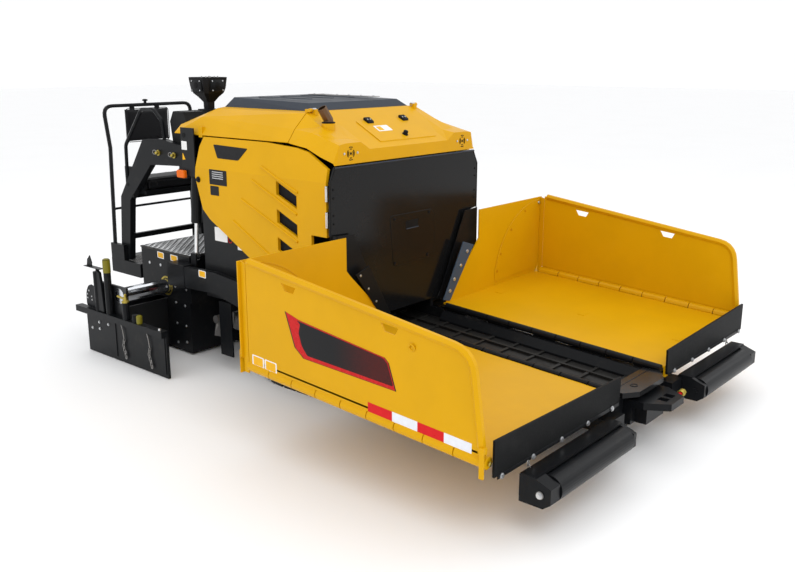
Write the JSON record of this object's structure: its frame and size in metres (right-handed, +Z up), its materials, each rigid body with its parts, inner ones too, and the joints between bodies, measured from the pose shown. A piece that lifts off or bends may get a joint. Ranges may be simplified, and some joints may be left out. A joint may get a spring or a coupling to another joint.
{
  "type": "tracked asphalt paver",
  "caption": "Tracked road paver with folding front hopper, push rollers, slat conveyor, auger, towed extending screed and rear operator station.",
  "frame": {"origin": "centre of the whole machine's bounding box, on the ground", "axes": "+X to the machine's left, +Y to the rear (screed), +Z up; the hopper faces -Y"},
  "size_m": [3.048, 4.455, 2.02],
  "materials": {
    "yellow": "gloss paint, dusty",
    "black": "satin paint",
    "dark": "satin paint",
    "grey": "textured paint",
    "steel": "worn steel",
    "chrome": "polished",
    "rubber": "matte",
    "bronze": "heat-browned",
    "vinyl": "seat vinyl"
  },
  "bodies": {
    "chassis": {"chassis_frame": "black", "conveyor_deck": "black", "conveyor_guard_left": "black", "conveyor_guard_right": "black", "front_deck": "dark", "tow_hook": "black", "push_roller_housing_left": "black", "push_roller_housing_right": "black", "track_frame_left": "black", "track_frame_right": "black", "track_left": "steel", "track_right": "steel", "body_frame": "black", "body_side_left": "dark", "body_side_right": "dark", "engine_block": "steel", "front_panel": "dark", "hood_rear": "yellow", "roof_cover": "grey", "station_arm": "black", "foot_platform": "black", "station_frame": "black", "guard_rail": "black", "seat_backrest": "vinyl", "seat_pan": "black", "seat_cushion": "vinyl", "dash_console": "black", "control_unit": "black"},
    "front_hood": {"front_hood": "yellow", "exhaust_tail": "bronze"},
    "hatch_lid": {"hatch_lid": "yellow"},
    "screed": {"screed_main": "black", "screed_deck": "steel", "tow_arm_left": "black", "tow_arm_right": "black"},
    "auger": {"auger": "steel"},
    "wing_left": {"hopper_wing_left": "yellow", "hopper_flap_left": "rubber"},
    "side_wall_left": {"hopper_side_wall_left": "yellow"},
    "wing_cylinder_left": {"wing_cylinder_left": "black"},
    "wing_cylinder_rod_left": {"wing_cylinder_rod_left": "chrome"},
    "lift_cylinder_left": {"lift_cylinder_left": "black"},
    "lift_cylinder_rod_left": {"lift_cylinder_rod_left": "chrome"},
    "side_door_left": {"side_door_left": "yellow"},
    "push_roller_left": {"push_roller_left": "black"},
    "extension_left": {"screed_extension_left": "black", "end_gate_left": "black"},
    "wing_right": {"hopper_wing_right": "yellow", "hopper_flap_right": "rubber"},
    "side_wall_right": {"hopper_side_wall_right": "yellow"},
    "wing_cylinder_right": {"wing_cylinder_right": "black"},
    "wing_cylinder_rod_right": {"wing_cylinder_rod_right": "chrome"},
    "lift_cylinder_right": {"lift_cylinder_right": "black"},
    "lift_cylinder_rod_right": {"lift_cylinder_rod_right": "chrome"},
    "side_door_right": {"side_door_right": "yellow"},
    "push_roller_right": {"push_roller_right": "black"},
    "extension_right": {"screed_extension_right": "black", "end_gate_right": "black"}
  },
  "joints": [
    {"name": "wing_left_fold", "type": "hinge", "parent": "chassis", "child": "wing_left", "pos_m": [0.27, -1.21383, 0.43105], "axis": [0, -0.9983, -0.0576], "range_deg": [0, 55]},
    {"name": "side_wall_left_fold", "type": "hinge", "parent": "wing_left", "child": "side_wall_left", "pos_m": [1.485, -1.21578, 0.46499], "axis": [0, -0.9983, -0.0576], "range_deg": [0, 84]},
    {"name": "wing_cylinder_left_swing", "type": "hinge", "parent": "chassis", "child": "wing_cylinder_left", "pos_m": [0.335, -1.72231, 0.21642], "axis": [0, -0.9983, -0.0576], "range_deg": [0, 41.9]},
    {"name": "wing_cylinder_rod_left_slide", "type": "slide", "parent": "wing_cylinder_left", "child": "wing_cylinder_rod_left", "axis": [0.8773, -0.0276, 0.4792], "range_m": [0, 0.16]},
    {"name": "push_roller_left_spin", "type": "hinge", "parent": "chassis", "child": "push_roller_left", "pos_m": [0.815, -2.1475, 0.235], "axis": [1, 0, 0], "continuous": true},
    {"name": "side_door_left_hinge", "type": "hinge", "parent": "chassis", "child": "side_door_left", "pos_m": [0.748, -0.2865, 1.26], "axis": [0, 0, -1], "range_deg": [0, 90]},
    {"name": "lift_cylinder_left_swing", "type": "hinge", "parent": "chassis", "child": "lift_cylinder_left", "pos_m": [0.675, 1.0525, 1.44], "axis": [1, 0, 0], "range_deg": [-7.6, 0]},
    {"name": "lift_cylinder_rod_left_slide", "type": "slide", "parent": "lift_cylinder_left", "child": "lift_cylinder_rod_left", "axis": [0, 0.0952, -0.9955], "range_m": [-0.204, 0]},
    {"name": "extension_left_slide", "type": "slide", "parent": "screed", "child": "extension_left", "axis": [1, 0, 0], "range_m": [-0.385, 0.2]},
    {"name": "wing_right_fold", "type": "hinge", "parent": "chassis", "child": "wing_right", "pos_m": [-0.27, -1.21383, 0.43105], "axis": [0, 0.9983, 0.0576], "range_deg": [0, 55]},
    {"name": "side_wall_right_fold", "type": "hinge", "parent": "wing_right", "child": "side_wall_right", "pos_m": [-1.485, -1.21578, 0.46499], "axis": [0, 0.9983, 0.0576], "range_deg": [0, 84]},
    {"name": "wing_cylinder_right_swing", "type": "hinge", "parent": "chassis", "child": "wing_cylinder_right", "pos_m": [-0.335, -1.72231, 0.21642], "axis": [0, 0.9983, 0.0576], "range_deg": [0, 41.9]},
    {"name": "wing_cylinder_rod_right_slide", "type": "slide", "parent": "wing_cylinder_right", "child": "wing_cylinder_rod_right", "axis": [-0.8773, -0.0276, 0.4792], "range_m": [0, 0.16]},
    {"name": "push_roller_right_spin", "type": "hinge", "parent": "chassis", "child": "push_roller_right", "pos_m": [-0.815, -2.1475, 0.235], "axis": [1, 0, 0], "continuous": true},
    {"name": "side_door_right_hinge", "type": "hinge", "parent": "chassis", "child": "side_door_right", "pos_m": [-0.748, -0.2865, 1.26], "axis": [0, 0, 1], "range_deg": [0, 90]},
    {"name": "lift_cylinder_right_swing", "type": "hinge", "parent": "chassis", "child": "lift_cylinder_right", "pos_m": [-0.675, 1.0525, 1.44], "axis": [1, 0, 0], "range_deg": [-7.6, 0]},
    {"name": "lift_cylinder_rod_right_slide", "type": "slide", "parent": "lift_cylinder_right", "child": "lift_cylinder_rod_right", "axis": [0, 0.0952, -0.9955], "range_m": [-0.204, 0]},
    {"name": "extension_right_slide", "type": "slide", "parent": "screed", "child": "extension_right", "axis": [-1, 0, 0], "range_m": [-0.385, 0.2]},
    {"name": "front_hood_hinge", "type": "hinge", "parent": "chassis", "child": "front_hood", "pos_m": [0, 0.0765, 1.824], "axis": [-1, 0, 0], "range_deg": [0, 65]},
    {"name": "hatch_lid_hinge", "type": "hinge", "parent": "front_hood", "child": "hatch_lid", "pos_m": [0.05, -0.0445, 1.762], "axis": [-1, 0, 0], "range_deg": [0, 80]},
    {"name": "screed_lift", "type": "hinge", "parent": "chassis", "child": "screed", "pos_m": [0, -0.0625, 0.4], "axis": [1, 0, 0], "range_deg": [0, 10]},
    {"name": "auger_spin", "type": "hinge", "parent": "chassis", "child": "auger", "pos_m": [0, 1.0075, 0.3], "axis": [1, 0, 0], "continuous": true}
  ],
  "couplings": [
    {"joint": "wing_cylinder_left_swing", "follows": "wing_left_fold", "ratio": 0.75185},
    {"joint": "wing_cylinder_rod_left_slide", "follows": "wing_left_fold", "m_per_rad": 0.16453},
    {"joint": "lift_cylinder_left_swing", "follows": "screed_lift", "ratio": -0.73005},
    {"joint": "lift_cylinder_rod_left_slide", "follows": "screed_lift", "m_per_rad": -1.159},
    {"joint": "wing_cylinder_right_swing", "follows": "wing_right_fold", "ratio": 0.75185},
    {"joint": "wing_cylinder_rod_right_slide", "follows": "wing_right_fold", "m_per_rad": 0.16453},
    {"joint": "lift_cylinder_right_swing", "follows": "screed_lift", "ratio": -0.73005},
    {"joint": "lift_cylinder_rod_right_slide", "follows": "screed_lift", "m_per_rad": -1.159}
  ]
}
